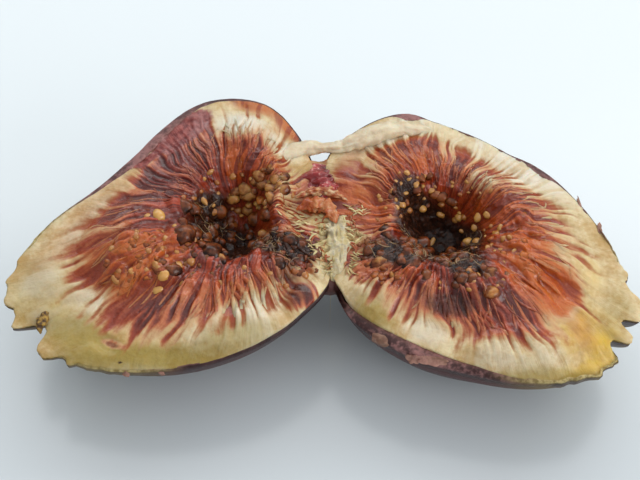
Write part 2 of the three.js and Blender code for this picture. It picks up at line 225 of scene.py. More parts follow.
right["maps"] = dict(
    dark=[(0, -3, 10.5, 7.5, -40, 1), (-9, -7, 9, 4.5, -10, 0.9), (3, -9.5, 6, 4.5, -30, 0.9),
          (-6.5, 5, 5, 5, 0, 0.7), (-2, 3, 8, 4.5, -20, 0.9), (0, -16.5, 8, 3.6, -8, 0.62),
          (3.5, -1, 6, 5, -20, 0.75), (-6.5, 0, 4.5, 4.5, 0, 0.7), (9, -6, 4, 4, 0, 0.4)],
    warm=[(15, -8, 10, 10, -20, 1), (20, -14.5, 8, 8, 0, 1), (-14, 3, 7, 6, 60, 0.8),
          (-5, 11, 9, 4, 10, 0.9), (9, 2, 7, 5, -30, 0.5), (-9, -9, 7, 4, -15, 0.6),
          (-13, 1, 5, 5, 0, 0.9)],
    wine=[(-1, -15.5, 9, 4, -5, 1), (9, -17, 7, 4, -20, 0.7)],
    yolk=[(23, -22, 7, 8, 30, 0.95), (23, -11, 5, 6, 0, 0.35), (20, -17, 4, 6, 0, 0.5),
          (22, -28, 10, 3, 20, 0.7)],
    chalk=[(11, -25, 11, 3.5, 3, 0.45), (-4, -21, 6, 3, -20, 0.6), (7, 6.8, 4.5, 3, -35, 0.8),
           (-15, -15, 3, 4, -50, 0.4), (12, 8.5, 5, 3, -35, 0.9), (15, 10, 14, 4, -38, 1),
           (22.5, -10, 5, 6, 10, 0.1), (-8, 18, 13, 4, 22, 1), (8, 14, 10, 4, -20, 0.6)],
    leaf=[(16, -29, 16, 2.5, 3, 0.8), (14, -24, 9, 4, 0, 0.16), (28, -18, 4, 8, -10, 0.4),
          (-13, -17.5, 6, 4, -50, 0.8)],
    raw=[(-19, 4.5, 8, 7, 0, 0.9), (-13.5, 1.5, 5.5, 5, 0, 0.9), (-15, -9, 5, 4, -30, 0.7),
         (0, -16.5, 7, 3.6, -8, 1), (13, -10, 8, 8, -30, 0.7), (18, -14, 6.5, 6, -40, 0.9),
         (9, -19.5, 8, 4.4, 0, 0.85), (-6, 14, 9, 3, 10, 0.5)],
    amber=[(16, 14, 12, 3, -35, 0.2), (-17, 11, 6, 3, 50, 0.5), (21.5, -20, 3, 6, 20, 0.4)],
    hide=[])
right["rises"] = [
    (11, -24, 11, 4.5, 3, 2.0), (16, -8, 8, 8, 0, 1.0), (-13, -15, 6, 5, -50, 0.8),
    (24, -27, 9, 4, 20, -1.2), (-13, 8, 6, 5, 0, 0.6), (22.5, -10, 4, 5, 10, 0.6)]

# %% [markdown]
# ## Where the drupelets and seeds sit
#
# The ones that stand out are placed one by one: x, y, radius, stretch, heading in degrees, tint
# and how deep they are sunk. The rest crowd into ovals, spiralling outwards like seeds in a
# sunflower, but leave the black core of the pit free. The flesh rises a little round every drupelet.

# %% Drupelets and seeds of the two faces
GOLDEN_ANGLE = 2.39996


def crowd(half, key):
    """The rows of one kind of bead: those placed one by one, and those scattered in ovals."""
    draw = np.random.default_rng(half["seed"] + len(key))
    rows = [tuple(row) for row in half[key + "_placed"]]
    core_x, core_y, core_length, core_width = half["core"]
    for ox, oy, length, width, turn, count, small, large, tone in half[key + "_crowds"]:
        c, s = math.cos(math.radians(turn)), math.sin(math.radians(turn))
        for n in range(count):
            reach = math.sqrt((n + draw.uniform()) / count)
            spin = n * GOLDEN_ANGLE + draw.uniform(-0.4, 0.4)
            a, b = length * reach * math.cos(spin), width * reach * math.sin(spin)
            x, y = ox + c * a - s * b, oy + s * a + c * b
            size = mix(small * 0.8, large * 1.1, draw.uniform() ** 1.6)
            oval, heading = draw.uniform(1.05, 1.4), draw.uniform(0, 360)
            tint = tone + draw.normal(0, 0.12)
            sunk = draw.uniform(0.0, 0.4) + (0.35 if tone > 1 else 0)
            if math.hypot((x - core_x) / core_length, (y - core_y) / core_width) > 1.25:
                rows.append((x, y, size, oval, heading, tint, sunk))
    return rows


left["jelly_placed"] = [
    (-9, -5.8, 2.1, 1.15, 20, 0.4, -0.2), (-4.6, -8.1, 2.3, 1.1, 160, 0.1, -0.2),
    (3.1, -5.1, 1.7, 1.0, 0, 0.3, -0.1), (-1.6, 2, 1.3, 1.1, 0, 0.5, 0.1),
    (2.9, 2, 1.6, 1.1, 30, 0.6, 0), (4, 6.6, 1.5, 1.2, 0, 0.75, 0.1),
    (6.7, 6.6, 1.3, 1.2, 70, 0.7, 0.1), (-3.6, -2.9, 1.1, 1.2, 0, 0.2, 0.2),
    (4.9, -1.9, 1.2, 1.3, 10, 0.95, 0.1)]
left["jelly_crowds"] = [
    (-1, -3, 9.5, 6.5, -10, 44, 0.9, 1.6, 0.25), (3.4, 5.5, 5.4, 3.2, 0, 34, 0.55, 1.45, 0.85),
    (10, -9, 5, 3.4, -20, 18, 0.8, 1.4, 0.25), (-7, -11, 6, 2.5, 10, 12, 0.8, 1.3, 0.55),
    (-14.5, -9.5, 7, 4, 25, 24, 0.9, 1.6, 1.3)]
left["seed_placed"] = [
    (-13.3, -2.1, 1.05, 1.35, 120, 1.0, 0.1), (-15, -2.3, 0.8, 1.2, 60, 0.6, 0.2),
    (-19.6, -13.6, 1.0, 1.25, 0, 0.45, 0.2), (-12.8, -15.1, 1.0, 1.2, 10, 0.85, 0),
    (-11.8, -13.3, 0.95, 1.35, 40, 0.8, 0.1), (-9.7, -11, 0.85, 1.4, 130, 0.6, 0.2),
    (-8.8, -13.8, 1.0, 1.2, 110, 0.5, 0.2), (-14.6, -12.5, 0.85, 1.5, 150, 0.5, 0.2),
    (-12.8, -8.7, 0.8, 1.2, 0, 0.5, 0.2), (-20.5, -8.5, 0.85, 1.2, 40, 0.5, 0.3),
    (-6.4, 3.6, 0.6, 2.2, 130, 0.6, 0.1)]
left["seed_crowds"] = [
    (-13, -9, 8, 4.5, 25, 22, 0.5, 0.8, 0.35), (-5, 5, 6, 3, 30, 12, 0.45, 0.7, 0.4),
    (4, -13, 8, 3, 10, 14, 0.5, 0.75, 0.3), (6, 5, 5, 3.5, 0, 10, 0.5, 0.8, 0.6)]
right["jelly_placed"] = [
    (-4.4, -2.9, 1.9, 1.1, 0, 0.12, 0), (-11.4, -5.4, 1.2, 1.1, 0, 0.55, 0.1),
    (-6.4, -9.2, 2.1, 1.15, 20, 0.15, 0.1), (-12, -11.5, 1.3, 1.0, 0, 1.3, 0.1),
    (6.8, -15.2, 1.5, 1.15, 90, 1.0, 0), (1.4, -7.7, 1.6, 1.2, 40, 0.3, 0.1),
    (-1.2, -8.2, 1.4, 1.2, 0, 0.35, 0.1), (-3.9, -12.1, 1.4, 1.3, 80, 0.45, 0.1),
    (2.4, -12.1, 1.4, 1.3, 60, 0.4, 0.1)]
right["jelly_crowds"] = [
    (-1, -5, 8, 5.5, -30, 40, 0.8, 1.5, 0.25), (-10, -6.5, 6, 3.2, -10, 20, 0.8, 1.4, 0.3),
    (-12, -10.5, 4.5, 2, -10, 12, 0.8, 1.3, 1.25), (-4, 5, 6, 4, 0, 14, 0.7, 1.2, 0.3),
    (5, -12, 6, 3, -20, 12, 0.8, 1.4, 0.5), (12, -6, 5, 6, 0, 12, 0.8, 1.3, 1.3)]
right["seed_placed"] = [
    (-5, 6.6, 0.75, 1.3, 100, 0.6, 0.2), (-2, 7, 0.75, 1.3, 60, 0.6, 0.2),
    (3.2, 3.6, 0.95, 1.2, 60, 0.85, 0.1), (0, 4.4, 0.8, 1.3, 20, 0.6, 0.2),
    (6.2, 2, 0.85, 1.25, 40, 0.8, 0.1), (4.6, -1.6, 0.85, 1.3, 0, 0.75, 0.1),
    (9, -6.2, 0.7, 1.3, 30, 0.6, 0.1), (11.2, -7.1, 0.6, 1.3, 60, 0.5, 0.2),
    (8.7, -2.9, 0.75, 1.2, 60, 0.5, 0.2), (-8.6, 2.4, 0.7, 1.3, 150, 0.6, 0.2),
    (-1.7, 0, 0.5, 3.2, 60, 0.7, 0)]
right["seed_crowds"] = [
    (0, 6, 9, 2.5, -10, 26, 0.45, 0.75, 0.5), (7, -2, 6, 3, -60, 18, 0.45, 0.75, 0.45),
    (-9, 3, 5, 3, 60, 14, 0.45, 0.7, 0.5), (3, -13, 7, 2.5, -10, 10, 0.45, 0.7, 0.4)]
for half in (left, right):
    half["drupelets"], half["seeds"] = crowd(half, "jelly"), crowd(half, "seed")
    half["bulges"] = [row[:3] for row in half["drupelets"]]
    print(half["name"], len(half["drupelets"]), "drupelets,", len(half["seeds"]), "seeds")

# %% [markdown]
# ## The torn face
#
# The face is a height field: a swelling, the pit, larger lobes, fibres that run inwards, knobs and
# soft lumps. The same function gives the numbers that the colours are made of. `way` goes from 0
# in the pit to 1 at the pulp's edge and 1.7 at the rim, and decides between pulp and wall. East,
# north and reach say where a point lies along the fibres.

# %% Height and colours of the face
def face(half, angle, radius):
    """Heights of the torn face above its plane, in millimetres, and its colour masks."""
    seed = half["seed"]
    x, y = radius * np.cos(angle), radius * np.sin(angle)
    rim, edge = rim_radius(half, angle), pulp_edge(half, angle)
    inwards = np.clip(radius / edge, 0, 1)
    across = np.clip((radius - edge) / (rim - edge), 0, 1)
    mouth, depth = half["pit"]
    mouth = np.minimum(mouth, edge - 0.5)
    lobes = sum(h * smooth(nearness(angle, a, w)) for a, w, h in half["lobes"])
    height = LIP * (1 - across ** 3) + (SWELL + lobes) * np.sin(math.pi * inwards ** 1.6)
    height = height - depth * (1 - smooth((radius - 1.5) / (mouth - 1.5)))
    for ox, oy, length, width, turn, rise in half["rises"]:
        height = height + rise * spots(x, y, [(ox, oy, length, width, turn, 1)])
    # fibres that run inwards, each bent a little by what it has grown round
    sway = 1.4 * waves(x / 7, y / 7, seed + 3) + 0.6 * waves(x / 3, y / 3, seed + 4)
    bent = angle + sway / np.maximum(radius, 7)
    cells = bent / (2 * math.pi)
    coarse = waves(cells * 118, radius / 9, seed + 5, 118)
    fine = waves(cells * 236, radius / 5, seed + 6, 236)
    relief = 0.65 * coarse + 0.6 * fine * smooth((radius - 5) / 5)
    strand = smooth(0.5 + 0.9 * relief * smooth((radius - 3) / 6))
    fibrous = smooth((inwards - 0.38) / 0.3) * (1 - smooth(across / 0.5))
    height = height + fibrous * (0.48 * strand - 0.24)
    bed = np.zeros_like(height)
    for bx, by, br in half["bulges"]:
        bed = np.maximum(bed, 0.6 * br * smooth(1.75 - np.hypot(x - bx, y - by) / br))
    height = height + bed
    # knobbly florets in the pit, soft lumps on the wall
    knobs = grain(x, y, 2.3, seed + 8)
    folds = 1 - np.abs(waves(x / 1.5 + 0.5 * knobs, y / 1.1, seed + 14))
    pulpy = 1 - smooth((inwards - 0.55) / 0.35)
    height = height + pulpy * (0.55 * knobs + 0.28 * folds ** 3)
    lumpy = 0.42 * grain(x, y, 4.5, seed + 9) + 0.06 * fine
    height = height + smooth(across / 0.4) * (1 - across ** 6) * lumpy
    masks = {name: spots(x, y, ovals) for name, ovals in half["maps"].items()}
    way = inwards + 0.7 * across + 0.03 * fine + 0.04 * waves(cells * 9, radius / 6, seed + 12, 9)
    way = way + 0.3 * masks["chalk"] - 0.06 * masks["amber"] - (way - 0.55) * masks["raw"]
    masks.update(way=way, strand=strand, east=np.cos(bent), north=np.sin(bent), reach=radius)
    return height, masks

# %% [markdown]
# ## Meshes moved by formula
#
# A half is a closed boat: one side of a sphere becomes the torn face and the other the round
# belly. A grid is rolled into a sphere and welded along its seam and poles, so the surface stays
# closed, with its faces outwards, however far the points move. Each point knows which ring and
# which sector it came from, so its new place is worked out from those two numbers.

# %% Boats and other formed meshes
def sphere_mesh(name, around, rings):
    """A closed sphere, with each point's ring from the top (0) down, and its angle."""
    form = bmesh.new()
    bmesh.ops.create_grid(form, x_segments=around, y_segments=rings, size=1)
    for point in form.verts:
        turn, fall = (point.co.x + 1) * math.pi, (1 - point.co.y) * math.pi / 2
        point.co = (math.cos(turn) * math.sin(fall), math.sin(turn) * math.sin(fall), math.cos(fall))
    bmesh.ops.remove_doubles(form, verts=form.verts, dist=1e-5)
    mesh = bpy.data.meshes.new(name)
    form.to_mesh(mesh)
    form.free()
    at = places(mesh)
    ring = np.rint(np.arccos(np.clip(at[:, 2], -1, 1)) / math.pi * rings)
    sector = np.rint(np.arctan2(at[:, 1], at[:, 0]) / (2 * math.pi) * around) % around
    return mesh, ring, sector * 2 * math.pi / around


def places(mesh):
    at = np.empty(len(mesh.vertices) * 3)
    mesh.vertices.foreach_get("co", at)
    return at.reshape(-1, 3)


def ball(ring, rings, angle):
    """Where the points of a sphere are, one unit from its middle."""
    fall = ring / rings * math.pi
    return np.cos(angle) * np.sin(fall), np.sin(angle) * np.sin(fall), np.cos(fall)


def settle(mesh, points):
    mesh.vertices.foreach_set("co", np.ascontiguousarray(points, float).ravel())
    mesh.update()


def paint(mesh, **values):
    """Keeps a number for each point of the mesh, or one for all, under each name."""
    for name, numbers in values.items():
        layer = mesh.attributes.new(name, "FLOAT", "POINT")
        numbers = np.broadcast_to(np.asarray(numbers, np.float32), len(mesh.vertices))
        layer.data.foreach_set("value", np.ascontiguousarray(numbers))


def add_piece(mesh, material, replaces=()):
    """Puts a finished mesh in the scene, smooth and painted, on the fig's one body."""
    piece = bpy.data.objects.new(mesh.name, mesh)
    bpy.context.scene.collection.objects.link(piece)
    mesh.shade_smooth()
    mesh.materials.append(material)
    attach(piece, "root")
    if replaces:
        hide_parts(*replaces)
    print(mesh.name, len(mesh.polygons), "faces")
    return piece


def belly(half, angle, share, inset, thickness):
    """The round underside: share 0 at the brim, 1 at the lowest point."""
    turn = share * math.pi / 2
    power = mix(half["fullness"], NECK_POWER, smooth(nearness(angle, half["stem"], 75)))
    out, down = np.cos(turn) ** (2 / power), np.sin(turn) ** (2 / power)
    out = np.where(share > 0.9999, 0, out)
    radius = (rim_radius(half, angle) - inset) * out
    x = half["belly"][0] * down + radius * np.cos(angle)
    y = half["belly"][1] * down + radius * np.sin(angle)
    return x, y, BRIM * (1 - down) - (DEPTH - thickness) * down

# %% [markdown]
# ## Shader arithmetic
#
# A finish is a handful of sums over noise and the painted numbers. `Wire` wraps a node's output
# so that a sum can be written as one, and `Finish` makes every other node with a single method.

# %% Wires and finishes
def colour(code):
    """A screen colour such as d9c79b as the light that Blender counts in."""
    levels = [int(code[i:i + 2], 16) / 255 for i in (0, 2, 4)]
    return tuple(c / 12.92 if c <= 0.04045 else ((c + 0.055) / 1.055) ** 2.4 for c in levels) + (1,)


class Wire:
    """A shader socket that can be added, multiplied and compared like a number."""

    def __init__(self, finish, socket):
        self.finish, self.socket = finish, socket

    def maths(self, operation, *others):
        inputs = dict(enumerate([self, *others]))
        return self.finish.node("ShaderNodeMath", {"operation": operation}, inputs)

    def __add__(self, other):
        return self.maths("ADD", other)

    def __mul__(self, other):
        return self.maths("MULTIPLY", other)

    def __sub__(self, other):
        return self.maths("SUBTRACT", other)

    def __rsub__(self, other):
        return self * -1 + other

    __radd__ = __add__
    __rmul__ = __mul__

    def step(self, low, high):
        """0 below low, 1 above high, smooth between."""
        inputs = {0: self, 1: low, 2: high}
        return self.finish.node("ShaderNodeMapRange", {"interpolation_type": "SMOOTHSTEP"}, inputs)


class Finish:
    """A material with one Principled surface, built node by node."""

    def __init__(self, name, **surface):
        self.material = bpy.data.materials.new(name)
        self.material.use_nodes = True
        self.tree = self.material.node_tree
        self.surface = self.tree.nodes["Principled BSDF"]
        self.set(**surface)
        self.place = self.node("ShaderNodeTexCoord", output="Object")

    def set(self, **sockets):
        for name, value in sockets.items():
            self.plug(value, self.surface.inputs[name.replace("_", " ")])

    def plug(self, value, socket):
        """Joins a wire to a socket, or sets the socket to a number, a vector or a colour's code."""
        if isinstance(value, Wire):
            self.tree.links.new(value.socket, socket)
        else:
            socket.default_value = colour(value) if isinstance(value, str) else value

    def node(self, kind, settings=None, inputs=None, output=0):
        made = self.tree.nodes.new(kind)
        for name, value in (settings or {}).items():
            setattr(made, name, value)
        for name, value in (inputs or {}).items():
            self.plug(value, made.inputs[name])
        return Wire(self, made.outputs[output])

    def painted(self, name):
        return self.node("ShaderNodeAttribute", {"attribute_name": name}, output="Fac")

    def noise(self, size, detail=3, stretch=None):
        """Noise from 0 to 1 whose coarsest lumps have that size in millimetres."""
        place = self.place
        if stretch:
            place = self.node("ShaderNodeMapping", None, {"Vector": place, "Scale": stretch})
        inputs = {"Vector": place, "Scale": 1 / (size * MM), "Detail": detail}
        return self.node("ShaderNodeTexNoise", None, inputs)

    def blend(self, a, b, share):
        """A colour between a and b."""
        inputs = {0: share, 6: a, 7: b}
        return self.node("ShaderNodeMix", {"data_type": "RGBA"}, inputs, output=2)

    def bump(self, height, millimetres, strength=1.0):
        inputs = {"Height": height, "Distance": millimetres * MM, "Strength": strength}
        self.set(Normal=self.node("ShaderNodeBump", None, inputs))

# %% [markdown]
# ## The flesh
#
# Wall and pulp have grown together, so they are one surface with one finish. The colour goes from
# the cream of the wall through streaked fibres to red, orange and dark brown jelly, and the dark of
# the pit carries painted shade as well. The painted maps say which colour rules where, and fine
# noise breaks up every border. Light enters wet flesh and comes out again nearby, redder, so the
# surface scatters light under itself. Threads finer than the mesh are noise on a cylinder: the
# flesh's directions go round it and the way out from the pit goes slowly along it, so the noise is
# drawn out into lines that follow the fibres.

# %% Finish of the flesh
flesh = Finish("fig flesh", Roughness=0.34, Subsurface_Weight=0.5, Subsurface_Radius=(1.0, 0.6, 0.42),
               Subsurface_Scale=1.2 * MM, Specular_IOR_Level=0.3, Coat_Roughness=0.1)
fleck = flesh.noise(0.8, 4)
cloud = flesh.noise(4.5, 3)
strand = flesh.painted("strand")
THREADS = 29  # a half has about six times as many threads round it
DRAWN_OUT = 0.006  # the cylinder's length for each millimetre: a thread is some 6 mm long
fan = flesh.node("ShaderNodeCombineXYZ", None, {0: flesh.painted("east"), 1: flesh.painted("north"),
                                                2: flesh.painted("reach") * DRAWN_OUT})
thread = flesh.node("ShaderNodeTexNoise", None, {"Vector": fan, "Scale": THREADS, "Detail": 3})
way = (flesh.painted("way") + (strand - 0.5) * 0.28 + (thread - 0.5) * 0.4 + (fleck - 0.5) * 0.12
       + (cloud - 0.5) * 0.16)
streak = (strand * 0.8 + (thread - 0.5) * 1.5 + (fleck - 0.5) * 0.4 + 0.12).step(0.1, 0.95)
print("flesh surface and", THREADS * 6, "threads")

# %% [markdown]
# Every colour of the pulp is a pair, a deep one between the fibres and a light one on them.

# %% Colours of the pulp
pulp_colour = flesh.blend("6a1a08", "b04018", streak)
warm_colour = flesh.blend("98360a", "c65e12", streak)
wine_colour = flesh.blend("501008", "84281a", streak)
pulp_colour = flesh.blend(pulp_colour, warm_colour, flesh.painted("warm"))
pulp_colour = flesh.blend(pulp_colour, wine_colour, flesh.painted("wine"))
outer_colour = flesh.blend("9e3a18", "ca764a", streak)
warm_outer = flesh.blend("983606", "ca6e28", streak)
outer_colour = flesh.blend(outer_colour, warm_outer, flesh.painted("warm") * 0.85)
tan_colour = flesh.blend("a65a28", "d4ac7e", streak)
print("pulp: red, orange and wine, with paler ends")

# %% [markdown]
# The wall is cream in soft clouds. Its other colours lie over it, each where its map is painted.

# %% Colours of the wall
wall_colour = flesh.blend("c39f64", "e3d0a6", (cloud + (fleck - 0.5) * 0.5).step(0.25, 0.75))
between = (0.6 - strand).step(0, 0.6) * (1.5 - way).step(0.1, 0.6) * 0.45
for code, share in [("bd8650", between),
                    ("ebe1ce", flesh.painted("chalk") * (0.3 + streak * 0.6)),
                    ("dcb238", flesh.painted("yolk") * cloud.step(0.25, 0.7)),
                    ("927e26", flesh.painted("leaf") * 0.75)]:
    wall_colour = flesh.blend(wall_colour, code, share)
amber_colour = flesh.blend("9a400c", "bf7034", (cloud * 0.6 + streak * 0.5).step(0.3, 0.8))
wall_colour = flesh.blend(wall_colour, amber_colour, flesh.painted("amber"))
print("wall: cream with chalk, yolk, leaf and amber")

# %% [markdown]
# From the pit outwards the colours follow each other by `way`. The dark jelly, which is also
# painted shade in the pit's depths and between the drupelets, and the skin that stuck lie over
# them all. Wet pulp has a glossy coat, and the wall is duller.

# %% The whole face
face_colour = flesh.blend(pulp_colour, outer_colour, way.step(0.62, 0.92))
face_colour = flesh.blend(face_colour, tan_colour, way.step(0.85, 1.08))
face_colour = flesh.blend(face_colour, wall_colour, way.step(1.0, 1.26))
# the pit's wet brown plus painted shade in its depths and between drupelets, with painted glints
dark = (flesh.painted("dark") + (cloud - 0.5) * 0.3 + (fleck - 0.5) * 0.35).step(0.25, 0.85)
glint = fleck.step(0.35, 0.75) * (2.2 - dark).step(0.9, 1.6)
dark_and_shade_colour = flesh.blend("22100a", "6a3820", glint)
face_colour = flesh.blend(face_colour, dark_and_shade_colour, dark)
hide_colour = flesh.blend("70201e", "a2524a", fleck.step(0.35, 0.7))
hide_colour = flesh.blend(hide_colour, "ba8682", cloud.step(0.5, 0.75) * 0.8)
hide = (flesh.painted("hide") + (fleck - 0.5) * 0.5).step(0.3, 0.6)
face_colour = flesh.blend(face_colour, hide_colour, hide)
wet = (1.15 - way).step(0, 0.4)
flesh.set(Base_Color=face_colour, Roughness=0.4 - dark * 0.2 - wet * 0.08 + (fleck - 0.5) * 0.2,
          Coat_Weight=0.2 + wet * 0.5 - dark * 0.35)
flesh.bump(fleck * (0.6 + wet) + cloud + thread * 1.2, 0.28, 0.8)
print("flesh finish:", len(flesh.tree.nodes), "nodes")

# %% [markdown]
# A half's face has a ring of points every quarter of a millimetre, fine enough for single fibres.
# The belly under it is never seen, so it gets few rings.

# %% Flesh of both halves
FACE_RINGS = 124
BELLY_RINGS = 10
AROUND = 720


def flesh_of(half):
    rings = FACE_RINGS + 1 + BELLY_RINGS
    mesh, ring, angle = sphere_mesh("flesh_" + half["name"], AROUND, rings)
    hinge = smooth(nearness(angle, half["hinge"], 36) * 2)
    stem_end = smooth(nearness(angle, half["stem"], 25) * 1.5)
    inset = loop_value(half["margins"], angle) - 0.9 - 1.6 * hinge - 0.4 * stem_end
    rim = rim_radius(half, angle) - inset
    radius = rim * np.clip(ring / FACE_RINGS, 0, 1)
    height, masks = face(half, angle, radius)
    centre = ring == 0
    height[centre] = height[centre].mean()
    x, y = radius * np.cos(angle), radius * np.sin(angle)
    under = ring > FACE_RINGS
    share = np.clip((ring - FACE_RINGS - 1) / BELLY_RINGS, 0, 1)
    bx, by, bh = belly(half, angle, share, np.maximum(inset, 0.4), 0.9)
    points = place(half, np.where(under, bx, x), np.where(under, by, y), np.where(under, bh, height))
    points[:, 2] = np.maximum(points[:, 2], 0.9 * MM)
    settle(mesh, points)
    paint(mesh, **masks)
    return mesh


flesh_left = add_piece(flesh_of(left), flesh.material, ["wall", "pulp_left"])
flesh_right = add_piece(flesh_of(right), flesh.material, ["wall", "pulp_right"])

# %% [markdown]
# ## The skin
#
# A fig's skin is thin, purple brown, dulled by a waxy bloom, with faint ribs that run from the
# stem to the eye. Round a torn face it ends in a frayed line, and stands a little proud where it
# peeled. Each half's skin is a thin cup: the upper side of a sphere becomes its inside.

# %% Finish of the skin
skin = Finish("fig skin", Roughness=0.42, Subsurface_Weight=0.08, Subsurface_Radius=(1, 0.3, 0.25),
              Subsurface_Scale=0.8 * MM, Specular_IOR_Level=0.3, Coat_Weight=0.05, Coat_Roughness=0.3)
mottle = skin.noise(6, 4)
speck = skin.noise(0.8, 3)
rib = skin.painted("rib")
bloom = (mottle + rib * 0.2 + (speck - 0.5) * 0.3).step(0.4, 0.75)
skin_colour = skin.blend("290e10", "4e2122", (rib * 0.5 + mottle * 0.8).step(0.35, 0.85))
skin_colour = skin.blend(skin_colour, "6e5856", bloom * 0.3)
skin_colour = skin.blend(skin_colour, "8a7a4a", skin.painted("neck") * mottle.step(0.3, 0.7) * 0.7)
skin_colour = skin.blend(skin_colour, "a06e60",
                         skin.painted("brink").step(0.5, 1) * (0.2 + speck * 0.5))
rosy = (mottle + (speck - 0.5) * 0.7).step(0.4, 0.7)
skin_colour = skin.blend(skin_colour, "b27f7a", skin.painted("band") * (0.08 + rosy * 0.6))
tip_colour = skin.blend("8d7a44", "c9b67c", speck.step(0.35, 0.65))
skin_colour = skin.blend(skin_colour, tip_colour,
                         skin.painted("brink").step(0.0, 0.3) * skin.painted("neck") * 0.9)
skin.set(Base_Color=skin_colour, Roughness=0.36 + bloom * 0.25)
skin.bump(speck + mottle * 0.6 + rib * 0.8, 0.25, 0.7)
print("skin finish:", len(skin.tree.nodes), "nodes")

# %% [markdown]
# The sphere's upper rings line the cup, the middle ones go over the frayed lip, and the lower ones
# are the outside. Peels are where the lip stands up: from where, how wide and how high.

# %% Skin of both halves
SKIN_AROUND, IN_RINGS, LIP_RINGS, OUT_RINGS = 384, 20, 9, 44


def skin_of(half):
    rings = IN_RINGS + LIP_RINGS + OUT_RINGS
    mesh, ring, angle = sphere_mesh("skin_" + half["name"], SKIN_AROUND, rings)
    fray = (waves(angle * 14, angle * 0, half["seed"] + 30)
            + 0.6 * waves(angle * 37, angle * 0, half["seed"] + 31))
    band = loop_value(half["margins"], angle) - 0.75 + 0.12 * fray
    hinge = smooth(nearness(angle, half["hinge"], 50) * 2)
    peel = sum(h * smooth(nearness(angle, a, w)) for a, w, h in half["peels"])
    stand = 0.12 + 0.15 * fray + peel - 4 * hinge
    stand = stand - 0.9 * smooth(nearness(angle, half["stem"], 22) * 1.5)
    inside, outside = ring < IN_RINGS, ring > IN_RINGS + LIP_RINGS
    share_in = np.clip(1 - ring / IN_RINGS, 0, 1)
    share_out = np.clip((ring - IN_RINGS - LIP_RINGS) / OUT_RINGS, 0, 1)
    ix, iy, ih = belly(half, angle, share_in, 0.55, 0.6)
    ox, oy, oh = belly(half, angle, share_out, 0.0, 0.0)
    over = np.clip((ring - IN_RINGS) / LIP_RINGS, 0, 1)
    lip = rim_radius(half, angle) - band * (1 - over)
    height = BRIM + (stand - BRIM) * np.sqrt(1 - over ** 2)
    x = np.where(inside, ix, np.where(outside, ox, lip * np.cos(angle)))
    y = np.where(inside, iy, np.where(outside, oy, lip * np.sin(angle)))
    h = np.where(inside, ih, np.where(outside, oh, height))
    points = place(half, x, y, h)
    points[:, 2] = np.maximum(points[:, 2], np.where(inside, 0.6 * MM, 0))
    settle(mesh, points)
    along = np.radians(half["stem"])
    side = -x * math.sin(along) + y * math.cos(along)
    turn = np.arctan2(side, -h - 1)
    rib = 0.5 + 0.5 * waves(turn * 9, turn * 0, half["seed"] + 33)
    neck = smooth((x * math.cos(along) + y * math.sin(along) - 20) / 12)
    paint(mesh, rib=rib, neck=neck, brink=np.where(inside, 1, 1 - over),
          band=smooth((band - 0.6) / 1.2) * ~outside)
    return mesh


left["peels"] = [(135, 40, 0.5)]
right["peels"] = [(104, 10, 0.8), (30, 18, 0.5), (-5, 6, 0.4)]
for half in (left, right):
    add_piece(skin_of(half), skin.material, ["skin"])

# %% [markdown]
# ## Fibres
#
# The fibres that matter most stand free of the pulp: pale threads that leave the wall and thin
# out towards the florets. Each is a small sphere drawn out into a tube along its own path, and is
# painted with the numbers of the flesh it lies on, only paler, and with painted light: paler on
# its upper side, darker underneath. Thin pink ones fill the upper quarters; thick white ones form
# the combs along the near rim.

# %% Fibres of both halves
STEPS, SIDES = 12, 6
SHARES = np.linspace(0, 1, STEPS + 1)  # of a tube's way, at its rings


def copies(name, count, around, rings):
    """Many small spheres in one mesh, with the ring and the angle of each point of one."""
    one, ring, angle = sphere_mesh("one", around, rings)
    form = bmesh.new()
    for n in range(count):
        form.from_mesh(one)
    mesh = bpy.data.meshes.new(name)
    form.to_mesh(mesh)
    form.free()
    bpy.data.meshes.remove(one)
    return mesh, ring.astype(int), angle


def tubes(name, paths, radii, up, flat=1, **values):
    """Closed tubes in one mesh: paths (tubes, STEPS + 1, 3), radii and values (tubes, STEPS + 1)."""
    paths, radii = np.array(paths), np.array(radii)
    mesh, ring, angle = copies(name, len(paths), SIDES, STEPS)
    ahead = np.gradient(paths, axis=1)
    ahead /= np.linalg.norm(ahead, axis=2, keepdims=True)
    side = np.cross(ahead, up)
    side /= np.linalg.norm(side, axis=2, keepdims=True)
    lift = np.cross(side, ahead) * flat
    out = side[:, ring] * np.cos(angle)[:, None] + lift[:, ring] * np.sin(angle)[:, None]
    settle(mesh, (paths[:, ring] + out * radii[:, ring, None]).reshape(-1, 3))
    values["along"] = np.broadcast_to(SHARES, radii.shape)
    values = {key: np.array(numbers)[:, ring] for key, numbers in values.items()}
    # painted light: the strand number falls from a fibre's upper side to its underside, paler on top
    if "strand" in values:
        values["strand"] = values["strand"] * (0.35 + 0.65 * smooth(0.5 + 0.6 * np.sin(angle)))
    paint(mesh, **{key: numbers.ravel() for key, numbers in values.items()})
    return mesh


